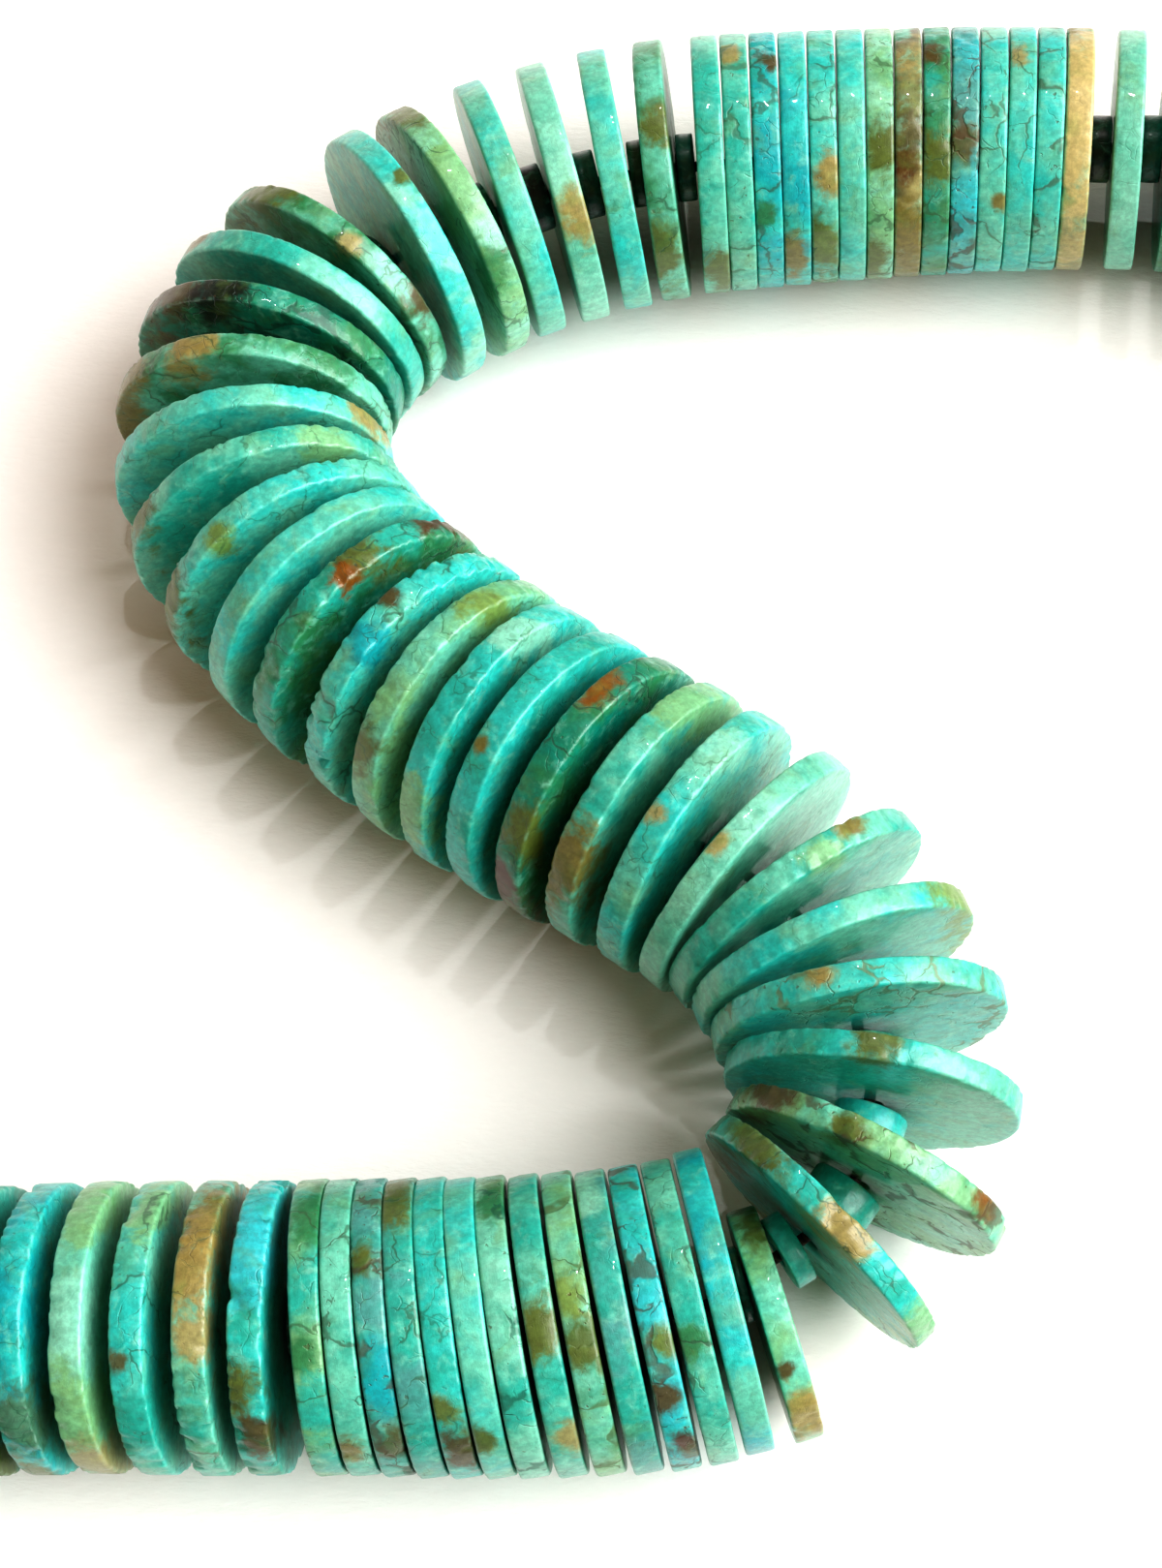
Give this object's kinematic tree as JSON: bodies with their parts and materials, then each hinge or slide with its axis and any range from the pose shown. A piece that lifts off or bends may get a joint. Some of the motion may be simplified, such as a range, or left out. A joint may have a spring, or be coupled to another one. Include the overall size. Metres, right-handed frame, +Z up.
{
  "type": "beaded necklace",
  "caption": "Closed loop of flat round turquoise disc beads standing on edge, with small round spacer beads between the loose discs and two tight stacks, lying in an S-shaped curve.",
  "frame": {"origin": "middle of the loop's own box, on the surface it lies on", "axes": "+Z up from the surface, +X to the right along the near run of beads, +Y towards the far run"},
  "size_m": [0.1606, 0.1578, 0.0208],
  "materials": {
    "turquoise_disc": "polished",
    "turquoise_stack": "polished",
    "turquoise_hidden": "polished",
    "spacer_stone": "polished",
    "clasp_metal": "satin"
  },
  "bodies": {
    "root": {"clasp": "clasp_metal", "disc_01": "turquoise_disc", "disc_02": "turquoise_disc", "disc_03": "turquoise_disc", "disc_04": "turquoise_disc", "disc_05": "turquoise_disc", "disc_06": "turquoise_disc", "disc_07": "turquoise_disc", "disc_08": "turquoise_disc", "disc_09": "turquoise_disc", "disc_10": "turquoise_disc", "disc_11": "turquoise_disc", "disc_12": "turquoise_disc", "disc_13": "turquoise_disc", "disc_14": "turquoise_disc", "disc_15": "turquoise_disc", "disc_16": "turquoise_disc", "disc_17": "turquoise_disc", "disc_18": "turquoise_disc", "disc_19": "turquoise_disc", "disc_20": "turquoise_disc", "disc_21": "turquoise_disc", "disc_22": "turquoise_disc", "disc_23": "turquoise_disc", "disc_24": "turquoise_disc", "disc_25": "turquoise_disc", "disc_26": "turquoise_disc", "disc_27": "turquoise_disc", "disc_28": "turquoise_disc", "disc_29": "turquoise_disc", "disc_30": "turquoise_disc", "disc_31": "turquoise_disc", "disc_32": "turquoise_disc", "disc_33": "turquoise_disc", "disc_34": "turquoise_disc", "disc_35": "turquoise_disc", "disc_36": "turquoise_disc", "disc_37": "turquoise_disc", "disc_38": "turquoise_disc", "hidden_01": "turquoise_hidden", "hidden_02": "turquoise_hidden", "hidden_03": "turquoise_hidden", "hidden_04": "turquoise_hidden", "hidden_05": "turquoise_hidden", "hidden_06": "turquoise_hidden", "hidden_07": "turquoise_hidden", "hidden_08": "turquoise_hidden", "hidden_09": "turquoise_hidden", "hidden_10": "turquoise_hidden", "stack_far": "turquoise_stack", "stack_near": "turquoise_stack", "strand_1": "spacer_stone", "strand_2": "spacer_stone", "strand_3": "spacer_stone", "strand_4": "spacer_stone", "strand_5": "spacer_stone", "strand_6": "spacer_stone"}
  },
  "joints": []
}
